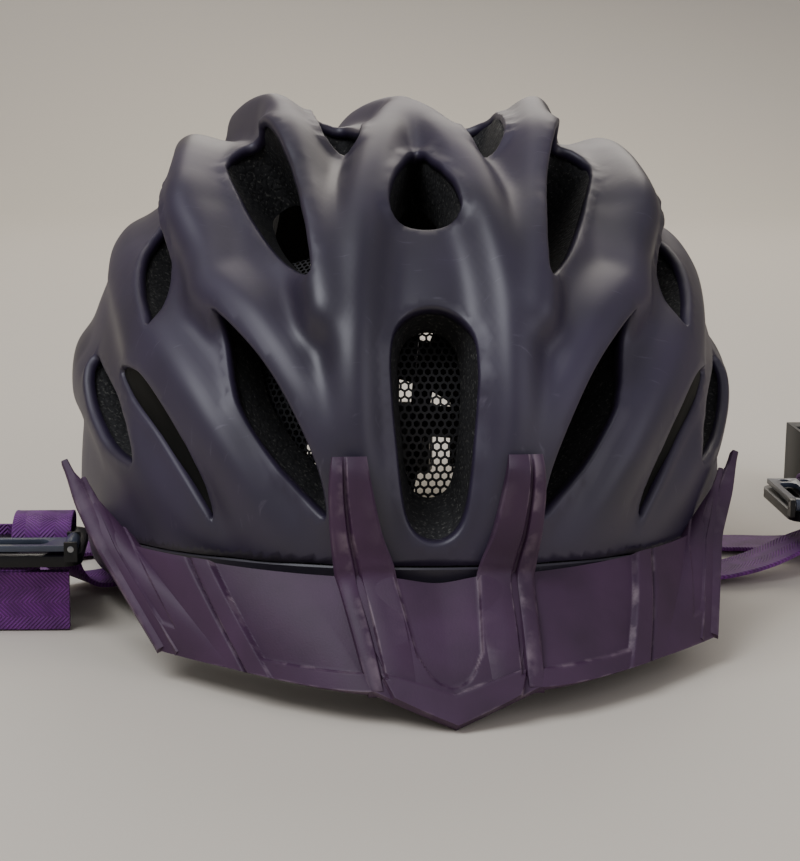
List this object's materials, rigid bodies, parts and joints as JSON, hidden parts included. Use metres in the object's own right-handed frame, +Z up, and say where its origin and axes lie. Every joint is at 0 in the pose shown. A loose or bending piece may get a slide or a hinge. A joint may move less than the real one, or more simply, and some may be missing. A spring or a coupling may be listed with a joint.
{
  "type": "cycling helmet",
  "caption": "Off-road cycling helmet with a vented ridged shell over foam, a pull-off visor, a dial-drawn head ring, webbing straps with dividers and an open side-release buckle.",
  "frame": {"origin": "on the table, under the middle of the whole helmet with its straps spread", "axes": "+Z up, the brow and visor face -Y, +X towards the wearer's left, across the spread straps; _left and _right in node names are as seen from the front, so _left is -X"},
  "size_m": [0.349, 0.3166, 0.157],
  "materials": {
    "shell_polycarbonate": "satin, in-moulded film, worn",
    "wrap_polycarbonate": "satin",
    "foam_eps": "moulded bead foam, speckled",
    "insert_rubber": "smooth matte",
    "net_nylon": "perforated mesh",
    "visor_nylon": "satin, scuffed edges",
    "clip_nylon": "moulded",
    "pad_fabric": "brushed knit over foam",
    "ring_nylon": "moulded",
    "dial_rubber": "soft-touch",
    "screw_steel": "zinc plated",
    "strap_webbing": "herringbone webbing",
    "divider_black": "moulded",
    "lever_slate": "moulded",
    "buckle_acetal": "moulded",
    "keeper_rubber": "smooth"
  },
  "bodies": {
    "helmet": {"outer_shell": "shell_polycarbonate", "rim_wrap": "wrap_polycarbonate", "foam_liner": "foam_eps", "side_insert_left": "insert_rubber", "side_insert_right": "insert_rubber", "insect_net": "net_nylon", "visor_sockets": "clip_nylon", "brow_pad": "pad_fabric", "crown_pad_left": "pad_fabric", "crown_pad_right": "pad_fabric", "side_pad_left": "pad_fabric", "side_pad_right": "pad_fabric", "pivot_sockets": "clip_nylon", "pivot_pins": "clip_nylon", "stem_pin": "clip_nylon", "strap_anchors": "clip_nylon", "front_strap_left": "strap_webbing", "front_strap_right": "strap_webbing", "rear_strap_left": "strap_webbing", "rear_strap_right": "strap_webbing", "divider_left": "divider_black", "divider_right": "divider_black", "lever_pins": "screw_steel", "chin_strap_left": "strap_webbing", "chin_strap_right": "strap_webbing", "buckle_plug": "buckle_acetal", "buckle_socket": "buckle_acetal", "chin_pad": "pad_fabric"},
    "visor": {"visor": "visor_nylon", "visor_studs": "clip_nylon"},
    "fit_frame": {"ring_arm_left": "ring_nylon", "ring_arm_right": "ring_nylon", "cradle": "ring_nylon", "dial_cover": "ring_nylon", "cover_screws": "screw_steel", "click_spring": "screw_steel", "nape_pad_left": "pad_fabric", "nape_pad_right": "pad_fabric"},
    "belt_left": {"belt_left": "ring_nylon"},
    "belt_right": {"belt_right": "ring_nylon"},
    "dial": {"dial_pinion": "ring_nylon", "dial_knob": "dial_rubber", "dial_screw": "screw_steel"},
    "lever_left": {"lever_left": "lever_slate"},
    "lever_right": {"lever_right": "lever_slate"},
    "keeper": {"strap_keeper": "keeper_rubber"}
  },
  "joints": [
    {"name": "visor_pull", "type": "slide", "parent": "helmet", "child": "visor", "axis": [0, -1, 0], "range_m": [0, 0.03]},
    {"name": "ring_swing", "type": "hinge", "parent": "helmet", "child": "fit_frame", "pos_m": [0, -0.0315, 0.024], "axis": [-1, 0, 0], "range_deg": [0, 8]},
    {"name": "dial_turn", "type": "hinge", "parent": "fit_frame", "child": "dial", "pos_m": [0, 0.115, 0.024], "axis": [0, -1, 0], "range_deg": [0, 170]},
    {"name": "belt_left_draw", "type": "hinge", "parent": "fit_frame", "child": "belt_left", "pos_m": [0, 0.0415, 0.024], "axis": [0, 0, -1], "range_deg": [0, 12.2]},
    {"name": "belt_right_draw", "type": "hinge", "parent": "fit_frame", "child": "belt_right", "pos_m": [0, 0.0415, 0.024], "axis": [0, 0, 1], "range_deg": [0, 12.2]},
    {"name": "lever_left_flip", "type": "hinge", "parent": "helmet", "child": "lever_left", "pos_m": [-0.103, -0.0617, 0.0265], "axis": [0, 1, 0], "range_deg": [0, 100]},
    {"name": "lever_right_flip", "type": "hinge", "parent": "helmet", "child": "lever_right", "pos_m": [0.1378, -0.005, 0.0239], "axis": [1, 0, 0], "range_deg": [0, 100]},
    {"name": "keeper_slide", "type": "slide", "parent": "helmet", "child": "keeper", "axis": [0, 1, 0], "range_m": [0, 0.004]}
  ],
  "couplings": [
    {"joint": "belt_left_draw", "follows": "dial_turn", "ratio": 0.07123},
    {"joint": "belt_right_draw", "follows": "dial_turn", "ratio": 0.07123}
  ]
}
